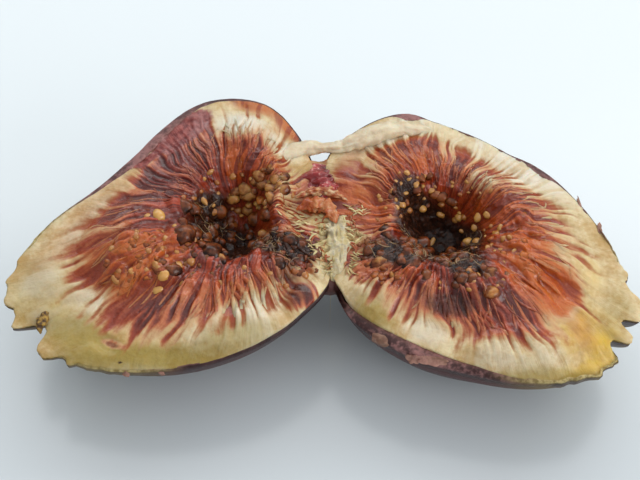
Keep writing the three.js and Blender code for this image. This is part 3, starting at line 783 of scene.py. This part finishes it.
def fibres_of(half):
    draw = np.random.default_rng(half["seed"] + 50)
    paths, radii, looks = [], [], []
    t = SHARES
    for start, end, count, root, tip, width, white, lift in half["fibres"]:
        for n in range(count):
            angle = math.radians(start + (end - start) * (n + draw.uniform(0.1, 0.9)) / count)
            bend, wag = draw.normal(0, 0.055), draw.normal(0, 0.03)
            turn = angle + bend * t * t + wag * np.sin(t * draw.uniform(4, 8))
            far, near = root + draw.normal(0, 0.03), tip + draw.normal(0, 0.09)
            radius = pulp_edge(half, turn) * mix(far, near, t)
            height, masks = face(half, turn, radius)
            thick = width * draw.uniform(0.6, 1.4) * np.sin(math.pi * (0.08 + 0.92 * t) ** 0.55) ** 0.8
            thick[[0, -1]] = 0
            root_sinks = (0.2 + 1.5 * thick.max()) * (1 - t) ** 4
            height = height + (lift - 0.55) * thick + 0.2 * width * np.sin(math.pi * t) - root_sinks
            paths.append(place(half, radius * np.cos(turn), radius * np.sin(turn), height))
            radii.append(thick * MM)
            masks["way"] = masks["way"] + white * draw.uniform(0.0, 0.18) * (1 - 0.7 * t)
            masks["strand"] = 0 * t + draw.uniform(0.6, 1.0)
            masks["chalk"] = masks["chalk"] * 0.4
            looks.append(masks)
    looks = {key: [masks[key] for masks in looks] for key in looks[0]}
    up = (0, -math.sin(LEAN), math.cos(LEAN))
    return tubes("fibres_" + half["name"], paths, radii, up, 0.6, **looks)


# each row: from and to in degrees, how many, where they start and end as shares of the pulp's
# edge, half width in mm, whiteness, and how much of their width stands free
left["fibres"] = [
    (98, 176, 34, 1.02, 0.5, 0.24, 0.1, 0.1), (176, 214, 14, 1.0, 0.62, 0.3, 0.35, 0.12),
    (214, 250, 13, 0.98, 0.6, 0.3, 0.1, 0.1), (250, 318, 26, 1.04, 0.55, 0.42, 0.6, 0.2),
    (40, 98, 20, 1.04, 0.5, 0.3, 0.4, 0.12), (318, 350, 6, 1.0, 0.6, 0.3, 0.2, 0.1)]
right["fibres"] = [
    (18, 100, 38, 1.04, 0.45, 0.25, 0.6, 0.12), (-28, 18, 18, 1.06, 0.72, 0.3, 0.7, 0.15),
    (-104, -28, 28, 1.04, 0.6, 0.4, 0.8, 0.2), (100, 165, 20, 1.0, 0.6, 0.27, 0.3, 0.12),
    (205, 256, 10, 1.0, 0.65, 0.36, 0.6, 0.15)]
for half in (left, right):
    add_piece(fibres_of(half), flesh.material)

# %% [markdown]
# ## Drupelets and seeds
#
# A fig's fruits are hidden inside it. Each floret has become a tiny drupelet: a drop of brown
# jelly, two to five millimetres across, with a hard golden seed. They crowd the pit, where they
# lie half sunk in syrup, and the ripest burst and leave bare seeds behind.

# %% Drupelets and seeds of both halves
jelly = Finish("drupelets", Roughness=0.2, Subsurface_Weight=0.5, Subsurface_Radius=(1, 0.4, 0.2),
               Subsurface_Scale=1.2 * MM, Specular_IOR_Level=0.18, Coat_Weight=0.4, Coat_Roughness=0.03)
tint = jelly.painted("tint")
core = jelly.painted("core")
murk = jelly.noise(1.1, 4)
# paler, more orange on a drupelet's free side, darker on flanks and base: translucency plus painted
# light and shade
clear = (core * 0.6 + tint * 0.5 + (murk - 0.5) * 1.2).step(0.15, 0.85)
jelly_colour = jelly.blend("240e06", "7a3c1a", clear)
lit_top = (core + (murk - 0.5) * 1.4).step(0.45, 1.1) * tint.step(0.1, 0.9)
lit_top_colour = jelly.blend("a4602a", "bc8648", tint.step(0.4, 0.8))
lit_top_colour = jelly.blend(lit_top_colour, "c66c26", tint.step(0.9, 1.25))
jelly.set(Base_Color=jelly.blend(jelly_colour, lit_top_colour, lit_top))
jelly.bump(murk + jelly.noise(0.5, 2) * 0.3, 0.25, 0.7)

husk = Finish("fig seeds", Roughness=0.25, Subsurface_Weight=0.2, Subsurface_Radius=(1, 0.6, 0.3),
              Subsurface_Scale=0.6 * MM, Coat_Weight=0.5, Coat_Roughness=0.08)
shade = (husk.painted("tint") + (husk.noise(0.8, 2) - 0.5) * 0.5).step(0, 1)
husk.set(Base_Color=husk.blend("9c5018", "d9a252", shade))
print("drupelet and seed finishes")


def beads(name, half, rows, around, rings):
    """Little oval bodies at (x, y, radius, stretch, degrees, tint, sunk) on a half's face."""
    mesh, ring, angle = copies(name, len(rows), around, rings)
    draw = np.random.default_rng(half["seed"] + len(rows))
    x, y, radius, stretch, turn, tint, sunk = (column[:, None] for column in np.array(rows).T)
    along, over, up = ball(ring, rings, angle)
    pit = waves(along * 1.7 + 40 * tint, over * 1.7 + up * 1.3 + 9 * radius, half["seed"])
    crease = np.abs(waves(along * 2.6 + 7 * radius, over * 2.6 + 30 * tint, half["seed"] + 1))
    dent = 1 + 0.16 * pit - 0.12 * crease
    along, over, up = along * stretch * dent, over * dent, up * 0.85 * dent
    up = up + along * draw.uniform(-0.35, 0.35, radius.shape)
    c, s = np.cos(np.radians(turn)), np.sin(np.radians(turn))
    height, _ = face(half, np.arctan2(y, x), np.hypot(x, y))
    middle = place(half, x, y, height - radius * (0.5 + 0.6 * sunk))
    out = np.stack([c * along - s * over, s * along + c * over, up], -1) * radius[..., None] * MM
    settle(mesh, (middle + out).reshape(-1, 3))
    # the free side of a drupelet looks up, and towards the middle of the pit if it sits on its wall
    lean = 0.9 * smooth(1.6 - np.hypot(x, y) / 9)
    inwards = -(x * out[..., 0] + y * out[..., 1]) / np.hypot(x, y)
    # painted light: the finish paints the jelly paler on this free, upper side and darker towards its
    # base
    free = (out[..., 2] + lean * inwards) / (radius * MM * np.sqrt(1 + lean ** 2))
    paint(mesh, tint=(tint + 0 * along).ravel(), core=free.ravel())
    return mesh


for half in (left, right):
    drupelets = beads("drupelets_" + half["name"], half, half["drupelets"], 16, 10)
    add_piece(drupelets, jelly.material)
    seeds = beads("seeds_" + half["name"], half, half["seeds"], 12, 8)
    add_piece(seeds, husk.material)

# %% [markdown]
# Burst drupelets leave thin glossy films behind, which curl over their neighbours. The paler ones
# are painted highlights, standing in for the fine curved lines of light along wet edges. To lay a
# line over whatever is there, rays are sent down on the pieces below, and the highest point that
# is hit is kept.

# %% Ground under loose bits
SKY = 60  # the rays start well above the fig, in millimetres
DOWN = Vector((0, 0, -1))


def ground_of(*pieces):
    """A function that gives the height of the highest of some pieces at (x, y), all in mm."""
    trees = []
    for piece in pieces:
        form = bmesh.new()
        form.from_mesh(piece.data)
        trees.append(BVHTree.FromBMesh(form))
        form.free()

    def ground(x, y):
        heights = []
        for px, py in zip(x, y):
            hits = [tree.ray_cast(Vector((px, py, SKY)) * MM, DOWN)[0] for tree in trees]
            heights.append(max([hit.z / MM for hit in hits if hit] or [0]))
        calm = np.pad(heights, 2, "edge")
        return np.convolve(calm, [0.1, 0.2, 0.4, 0.2, 0.1], "valid")

    return ground


# %% Films in the pits
film = Finish("floret films", Roughness=0.16, Subsurface_Weight=0.3, Subsurface_Radius=(1, 0.5, 0.3),
              Subsurface_Scale=0.5 * MM, Coat_Weight=0.4, Coat_Roughness=0.04)
# the paler films are painted highlights for light on wet edges; the darker ones are brown films
film_tint_and_highlight = (film.painted("tint") + (film.noise(1.5, 2) - 0.5) * 0.8).step(0.1, 0.9)
film.set(Base_Color=film.blend("4a2c1a", "a08058", film_tint_and_highlight))


def films_of(half, ground, count):
    draw = np.random.default_rng(half["seed"] + 70)
    t = SHARES
    cx, cy, _ = np.array(half["centre"]) + CENTRE_SHIFT
    core_x, core_y, core_length, core_width = half["core"]
    paths, radii, tint = [], [], []
    while len(paths) < count:
        ox, oy, length, width, turn, _ = half["maps"]["dark"][int(len(paths) % 4 == 0)]
        spin = draw.uniform(0, 6.3)
        reach = math.sqrt(draw.uniform(0.2, 1.0))
        heading = draw.uniform(0, 6.3)
        way, curve = draw.uniform(1.4, 4), draw.normal(0, 1.7)
        angle = heading + curve * (t - 0.5)
        x = ox + length * reach * math.cos(spin) + np.cumsum(np.cos(angle)) * way / STEPS
        y = oy + width * reach * math.sin(spin) + np.cumsum(np.sin(angle)) * way / STEPS
        in_core = np.hypot((x - core_x) / core_length, (y - core_y) / core_width).min() < 1.1
        if in_core or spots(x, y, half["maps"]["dark"]).min() < 0.55:
            continue
        height = ground(cx + x, cy + math.cos(LEAN) * y) + draw.uniform(-0.04, 0.04)
        thick = draw.uniform(0.05, 0.11) * np.sin(math.pi * t) ** 0.5
        thick[[0, -1]] = 0
        paths.append(np.stack([cx + x, cy + math.cos(LEAN) * y, height], 1) * MM)
        radii.append(thick * MM)
        tint.append(t * 0 + draw.uniform(0, 1))
    return tubes("films_" + half["name"], paths, radii, (0, 0, 1), 0.8, tint=tint)


for half, flesh_piece in ((left, flesh_left), (right, flesh_right)):
    ground = ground_of(flesh_piece, bpy.data.objects["drupelets_" + half["name"]])
    add_piece(films_of(half, ground, 80), film.material)

# %% [markdown]
# ## The eye
#
# The halves still hang together at the eye: a cream ridge of tough scales, packed like a bud.
# Torn open, it leans both ways, and its straw coloured scales fan out over the two pits. Behind it
# a strip of wall stayed whole: it bridges the gap like a strap and runs on along the right half's
# back rim. A pink shred of the skin shows under it. Ropes and lumps like these are the same rolled
# grid, led along a smooth curve.

# %% Ropes led along a curve
def along_path(knots, t):
    """A smooth curve through rows of numbers, read at shares of its way."""
    rows = np.array(knots, float)
    rows = np.vstack([2 * rows[0] - rows[1], rows, 2 * rows[-1] - rows[-2]])
    way = np.clip(t, 0, 1) * (len(knots) - 1)
    i = np.minimum(way.astype(int), len(knots) - 2)
    f = (way - i)[:, None]
    a, b, c, d = rows[i], rows[i + 1], rows[i + 2], rows[i + 3]
    return b + 0.5 * f * (c - a + f * (2 * a - 5 * b + 4 * c - d + f * (3 * (b - c) + d - a)))


def rope(name, knots, seed, flat=0.7, lumps=0.25, around=48, rings=110):
    """A lumpy rope through (x, y, z, radius) knots in mm, thinner across than wide where flat < 1."""
    mesh, ring, angle = sphere_mesh(name, around, rings)
    t = ring / rings
    x, y, z, radius = along_path(knots, t).T
    step = along_path(knots, t + 0.004)[:, :3] - along_path(knots, t - 0.004)[:, :3]
    step /= np.linalg.norm(step, axis=1, keepdims=True)
    side = np.cross(step, (0, 0, 1))
    side /= np.linalg.norm(side, axis=1, keepdims=True)
    lift = np.cross(side, step)
    cells = angle / (2 * math.pi)
    length = len(knots) * 2
    creases = (waves(cells * 11, t * length * 0.6, seed, 11)
               + 0.5 * waves(cells * 23, t * length * 2, seed + 1, 23))
    bumps = waves(cells * 6, t * length * 1.6, seed + 2, 6)
    ends = np.sin(math.pi * np.clip(t, 0, 1)) ** 0.35
    radius = radius * ends * (1 + lumps * (0.5 * creases + 0.7 * bumps))
    out = side * np.cos(angle)[:, None] + lift * (np.sin(angle) * flat)[:, None]
    points = np.stack([x, y, z], 1) + CENTRE_SHIFT + out * radius[:, None]
    settle(mesh, points * MM)
    paint(mesh, along=t, crease=0.5 + 0.5 * np.clip(creases, -1, 1))
    return mesh

# %% [markdown]
# The ridge of the eye is a long lump, woolly on its flanks and seamed along its crest. Its finish
# goes from cream with grey specks on the crest to straw and orange brown where the scales begin.
# Painted shade darkens the grooves of the wool and the seams, and painted light makes the straw
# paler on the woolly ridges.

# %% Ridge of the eye
scale = Finish("eye scales", Roughness=0.4, Subsurface_Weight=0.25, Subsurface_Radius=(1, 0.6, 0.3),
               Subsurface_Scale=0.8 * MM, Coat_Weight=0.1, Coat_Roughness=0.2)
chip = scale.noise(0.8, 4)
blot = scale.noise(2.4, 3)
crest_colour = scale.blend("c4b07c", "dfd2b0", (blot + (chip - 0.5) * 0.6).step(0.35, 0.65))
crest_colour = scale.blend(crest_colour, "6f665c", (chip * 0.8 + blot * 0.4).step(0.62, 0.78) * 0.5)
tone = (scale.painted("tone") + (chip - 0.5) * 0.7).step(0, 1)
straw_colour = scale.blend("9a7236", "e4d096", tone)
straw_colour = scale.blend(straw_colour, "b0542a", (blot + scale.painted("rust")).step(0.75, 1.3))
scale_colour = scale.blend(straw_colour, crest_colour, scale.painted("crest"))
# painted shade: dark brown in the grooves of the wool and along the seams
scale_colour = scale.blend(scale_colour, "3c2010", scale.painted("pore"))
scale.set(Base_Color=scale_colour)
scale.bump(chip + blot * 0.6, 0.3, 0.8)
RIDGE_AROUND, RIDGE_RINGS = 260, 160


def ridge(name):
    mesh, ring, angle = sphere_mesh(name, RIDGE_AROUND, RIDGE_RINGS)
    nx, ny, nz = ball(ring, RIDGE_RINGS, angle)
    crest = smooth(nz * 1.2)
    wide = 7.2 - 3.6 * crest - 2.2 * smooth(-1.6 * ny)
    x = 2.2 + 0.8 * crest - 0.6 * ny + wide * nx
    y = -3.8 + 8.8 * ny
    z = 14.5 + np.where(nz > 0, 6.4 * np.abs(nz) ** 0.35, 4.6 * nz) - 0.8 * np.maximum(ny, 0) ** 2
    top = smooth(1.5 - np.abs(x - 3.1 + 0.1 * (y + 5)) / 1.8)
    warp_x, warp_y = waves(y / 1.3, x / 1.3, 77), waves(x / 1.1, y / 1.4, 78)
    wool = 1 - np.abs(waves(x / 1.5 + warp_x, y / 0.7 + warp_y, 71))
    seam = 1 - np.abs(waves(x / 0.7, y / 2.4, 72))
    rough = mix(1.5 * (wool - 0.62), 0.35 * (seam - 0.6), top) + 0.45 * grain(x, y, 2.2, 75)
    x, y, z = x + nx * rough, y + ny * rough, z + nz * rough
    settle(mesh, (np.stack([x, y, z], 1) + CENTRE_SHIFT) * MM)
    # painted light and shade: straw paler on the woolly ridges, dark brown in the grooves and seams
    paint(mesh, crest=top, tone=0.25 + 0.6 * wool, rust=smooth((y + 2) / 4) * 0.9,
          pore=smooth((0.5 - mix(wool, seam, top)) / 0.3) * mix(0.9, 0.5, top))
    return mesh


eye = add_piece(ridge("eye"), scale.material, ["wall"])

# %% [markdown]
# The scales are torn to scraps: short flat straws that lie almost any way on the flanks of the
# ridge, most of them towards the pits.

# %% Scales of the eye
def scales_of(name, ground, count, near, far, heading, seed):
    draw = np.random.default_rng(seed)
    t = SHARES
    paths, radii, tone, rust = [], [], [], []
    for n in range(count):
        row, out = draw.uniform(), draw.uniform() ** 1.3
        y0 = mix(-12.0, 1.8, row)
        x0 = 3.1 - 0.1 * (y0 + 5) + mix(near, far * (0.22 + 0.78 * smooth(row * 1.3)), out)
        way, bend = draw.uniform(0.8, 2.4), draw.normal(0, 0.8)
        angle = math.radians(heading + draw.normal(0, 42)) + bend * (t - 0.5)
        x = x0 + np.cumsum(np.cos(angle)) * way / STEPS + CENTRE_SHIFT[0]
        y = y0 + np.cumsum(np.sin(angle)) * way / STEPS + CENTRE_SHIFT[1]
        z = ground(x, y) + draw.uniform(-0.1, 0.08) + draw.uniform(0, 0.25) * np.sin(math.pi * t)
        thick = draw.uniform(0.08, 0.24) * np.sin(math.pi * (0.1 + 0.9 * t) ** 0.8)
        thick[[0, -1]] = 0
        paths.append(np.stack([x, y, z], 1) * MM)
        radii.append(thick * MM)
        tone.append(t * 0 + draw.uniform(0.1, 1.1))
        rust.append(t * 0 + max(0, draw.normal(0.15 + 0.45 * row, 0.3)))
    none = np.zeros((count, STEPS + 1))
    return tubes(name, paths, radii, (0.25, 0.1, 1), 0.5, tone=tone, rust=rust, crest=none, pore=none)


ground = ground_of(eye, flesh_left, flesh_right)
add_piece(scales_of("scales_left", ground, 130, -1.2, -9.2, 185, 81), scale.material)
add_piece(scales_of("scales_right", ground, 90, 1.2, 4.8, -15, 82), scale.material)

# %% [markdown]
# The strap has the finish of the flesh, with its own painted numbers, and so have the web behind
# the shred, the orange lump and its frill. The shred is skin seen from its raw side, wet and
# magenta, in a few narrow folds, painted darker in their grooves and paler on their ridges as
# painted shade and light.

# %% Strap, web, shred and lump
def streaks(mesh, middle, swing, over, along, seed):
    """Strand numbers for a rope: noise over two of its (axis, cells per metre)."""
    at = places(mesh)
    (a, a_cells), (b, b_cells) = over, along
    return middle + swing * waves(at[:, a] * a_cells, at[:, b] * b_cells, seed)


def flesh_piece(mesh, strand, **values):
    paint(mesh, strand=strand, **values)
    add_piece(mesh, flesh.material, ["wall"])


strap = rope("strap", [(-12.5, 8.2, 18.8, 0.5), (-7.4, 11.2, 21.1, 2.3), (-2.8, 13.2, 21.7, 1.8),
                       (0.4, 13.2, 21.9, 1.1), (3.4, 13.0, 22.4, 1.2), (6.4, 13.8, 23.1, 1.6),
                       (10.4, 15.2, 23.4, 1.8), (15.0, 16.4, 23.3, 1.6), (19.5, 16.4, 22.8, 1.2),
                       (24.0, 15.4, 22.0, 0.5)], 61, 0.75, 0.3)
flesh_piece(strap, streaks(strap, 0.6, 0.3, (1, 1200), (2, 1600), 9), way=1.4, chalk=0.6)
web = rope("web_back", [(-5.5, 9.6, 19.8, 1.5), (-2.4, 10.4, 20.4, 1.3), (0.2, 10.2, 20.2, 1.0),
                        (2.6, 10.8, 20.5, 1.3), (5.6, 11.0, 20.2, 1.5)], 66, 0.8, 0.25)
flesh_piece(web, 0.5, way=1.15, amber=0.5, chalk=0.3)

raw = Finish("raw skin", Roughness=0.25, Subsurface_Weight=0.4, Subsurface_Radius=(1, 0.35, 0.3),
             Subsurface_Scale=0.8 * MM, Coat_Weight=0.4, Coat_Roughness=0.08)
vein = raw.noise(0.7, 4)
# painted shade and light: darker in the grooves of the folds, paler on their ridges; pale veins over it
raw.set(Base_Color=raw.blend(raw.blend("6a1418", "b83c3c", raw.painted("crease")),
                             "dc9a90", (vein + raw.painted("crease") * 0.2).step(0.66, 0.85)))
raw.bump(vein, 0.25, 0.9)
shred = rope("shred_1", [(0.4, 11.8, 19.2, 1.5), (0.2, 9.4, 20.2, 2.4), (0.2, 7.0, 20.7, 3.1),
                         (0.5, 4.8, 20.6, 3.2), (0.8, 2.6, 20.0, 2.2)], 93, 0.5, 0.45, 110, 110)
add_piece(shred, raw.material, ["skin"])

lump = rope("orange_lump", [(-4.2, 0.6, 20.2, 0.5), (-2.0, 1.3, 21.0, 1.2), (0.4, 0.9, 21.5, 1.5),
                            (2.0, -0.8, 21.3, 1.2), (2.8, -2.6, 20.8, 0.5)], 63, 0.55, 0.6)
flesh_piece(lump, streaks(lump, 0.65, 0.3, (1, 500), (0, 2400), 7), way=0.86, warm=0.8, chalk=0.3)
frill = rope("frill", [(-4.4, 3.0, 20.6, 0.5), (-1.8, 3.8, 21.4, 0.8), (0.6, 4.0, 21.7, 0.8),
                       (2.8, 3.2, 21.5, 0.7), (4.8, 2.2, 20.8, 0.4)], 67, 0.8, 0.7, 64, 100)
flesh_piece(frill, streaks(frill, 0.5, 0.5, (0, 1500), (1, 3000), 8), way=0.96, chalk=0.5)

# %% [markdown]
# Below the eye the two skins run into each other: a fold closes the notch in front, and a broader
# bed under it joins the bellies.

# %% Skin under the eye
for name, knots, seed, flat, lumps, brink in [
        ("skin_fold", [(-5.5, -8.5, 14.5, 3.2), (0.9, -11.2, 16.0, 2.6), (2.2, -11.5, 16.2, 2.5),
                       (8.5, -8.5, 14.5, 3.2)], 97, 0.9, 0.2, 0.7),
        ("skin_bed", [(-6, -2.4, 12.4, 5), (-1, -2.4, 12.6, 6.4), (3, -2.4, 12.6, 6.4),
                      (8, -2.4, 12.4, 5)], 98, 0.7, 0.1, 0.2)]:
    joined = rope(name, knots, seed, flat, lumps)
    paint(joined, rib=0.5, neck=0, brink=brink, band=0)
    add_piece(joined, skin.material, ["skin"])

# %% [markdown]
# ## Flakes, stem and crumbs
#
# Where the skin tore it curls off the rim in thin flakes. Each is a flat lens, bent and frayed. A
# dried bit of the stem clings to the left tip, and a few crumbs of skin hang under the near rim.

# %% Loose bits
def flake(name, half, degrees, outwards, up, length, width, tilt, curl, seed):
    """A lens of skin at a half's rim: tilt turns it down over the edge, curl bends it."""
    rings = 24
    mesh, ring, angle = sphere_mesh(name, 40, rings)
    along, over, thick = ball(ring, rings, angle)
    ragged = 1 + 0.18 * waves(angle * 2.2, angle * 0, seed)
    along, over = along * length * ragged, over * width * ragged
    ripple = 0.12 * waves(along * 1.3, over * 1.6, seed + 1)
    thick = 0.14 * thick + curl * (over / width) ** 2 * width + ripple
    c, s = math.cos(math.radians(tilt)), math.sin(math.radians(tilt))
    over, thick = over * c + thick * s, thick * c - over * s
    a = math.radians(degrees)
    radius = rim_radius(half, np.array(a)) + outwards + over
    x = radius * math.cos(a) - along * math.sin(a)
    y = radius * math.sin(a) + along * math.cos(a)
    settle(mesh, place(half, x, y, up + thick))
    paint(mesh, rib=0.5, neck=0.15, brink=1, band=1)
    return mesh


# each row: half, degrees, outwards, up, length, width, tilt, curl and seed
for half, *row in [(right, -118, 0.0, -0.3, 1.6, 1.0, 40, -0.4, 7),
                   (right, -97, -0.4, -0.1, 2.4, 0.8, 25, 0.3, 8),
                   (right, -104, 0.2, -0.4, 1.3, 0.8, 50, 0.4, 6),
                   (right, -3, -0.3, 0.1, 1.2, 0.5, 20, 0.2, 5),
                   (right, 8, -0.4, 0.1, 1.6, 0.4, 25, -0.2, 4),
                   (left, -121, 0.1, -0.5, 0.7, 0.5, 50, 0.3, 12),
                   (left, -112, 0.1, -0.5, 0.6, 0.4, 50, -0.3, 13)]:
    add_piece(flake("flake_" + str(row[-1]), half, *row), skin.material, ["skin"])

stem_finish = Finish("dried stem", Roughness=0.6)
bark = stem_finish.noise(0.7, 4)
stem_finish.set(Base_Color=stem_finish.blend("4a2f18", "b08a3c", bark.step(0.35, 0.65)))
stem_finish.bump(bark, 0.3, 0.9)
left_x, left_y = left["centre"][:2]
stem_knots = [
    (left_x - 31.0, left_y - 18.2, 17.4, 0.5), (left_x - 31.8, left_y - 19.6, 18.0, 0.75),
    (left_x - 32.4, left_y - 21.0, 17.6, 0.7), (left_x - 32.2, left_y - 22.2, 16.8, 0.4)]
stem_bit = rope("stem_bit", stem_knots, 131, 0.8, 0.5, 24, 40)
add_piece(stem_bit, stem_finish.material, ["wall"])

# %% [markdown]
# ## The stage
#
# The fig lies on a smooth pale table, glossy enough to mirror it faintly. Daylight comes through a
# wide window beyond it, a dim ceiling softens the shadows, and a small fill lifts the near skin.
# The camera is the photographer's: fairly close, looking down at 55 degrees.

# %% Floor, light and camera
table = Finish("pale table", Base_Color="d6dee2", Roughness=0.2, IOR=2.0)
top = bmesh.new()
bmesh.ops.create_grid(top, x_segments=4, y_segments=4, size=3)
floor_mesh = bpy.data.meshes.new("floor")
top.to_mesh(floor_mesh)
top.free()
floor = bpy.data.objects.new("floor", floor_mesh)
floor_mesh.materials.append(table.material)
bpy.context.scene.collection.objects.link(floor)

scene = bpy.context.scene
scene.view_settings.view_transform = "Standard"
world = bpy.data.worlds.new("daylight")
scene.world = world
world.use_nodes = True
world.node_tree.nodes["Background"].inputs["Color"].default_value = (0.93, 0.96, 1.0, 1)
world.node_tree.nodes["Background"].inputs["Strength"].default_value = 0.42


def area_light(name, at, aim, size, power, tint):
    lamp = bpy.data.lights.new(name, "AREA")
    lamp.shape = "RECTANGLE"
    lamp.size, lamp.size_y = size
    lamp.energy = power
    lamp.color = tint
    lit = bpy.data.objects.new(name, lamp)
    lit.location = at
    lit.rotation_euler = (Vector(aim) - Vector(at)).to_track_quat("-Z", "Y").to_euler()
    scene.collection.objects.link(lit)


area_light("window", (0.06, 0.8, 0.74), (0, 0, 0.01), (1.9, 0.55), 6.9, (0.95, 1.0, 1.0))
area_light("fill", (0.55, -0.3, 0.26), (0.06, -0.03, 0), (0.4, 0.3), 1.5, (1.0, 1.0, 1.0))
area_light("ceiling", (0.3, 0, 1.4), (0, 0, 0), (2.4, 2.4), 9.6, (1.0, 0.995, 0.985))

camera = bpy.data.objects.new("camera", bpy.data.cameras.new("camera"))
DISTANCE = 230  # from the camera to the middle of the fig, in millimetres
camera.data.lens = 72
camera.data.sensor_width = 36
aim = Vector((CENTRE_SHIFT[0], CENTRE_SHIFT[1], 12)) * MM
rise = math.radians(55)
camera.location = aim + Vector((0, -math.cos(rise), math.sin(rise))) * DISTANCE * MM
camera.rotation_euler = (aim - camera.location).to_track_quat("-Z", "Y").to_euler()
camera.data.clip_start = 0.01
scene.collection.objects.link(camera)
scene.camera = camera
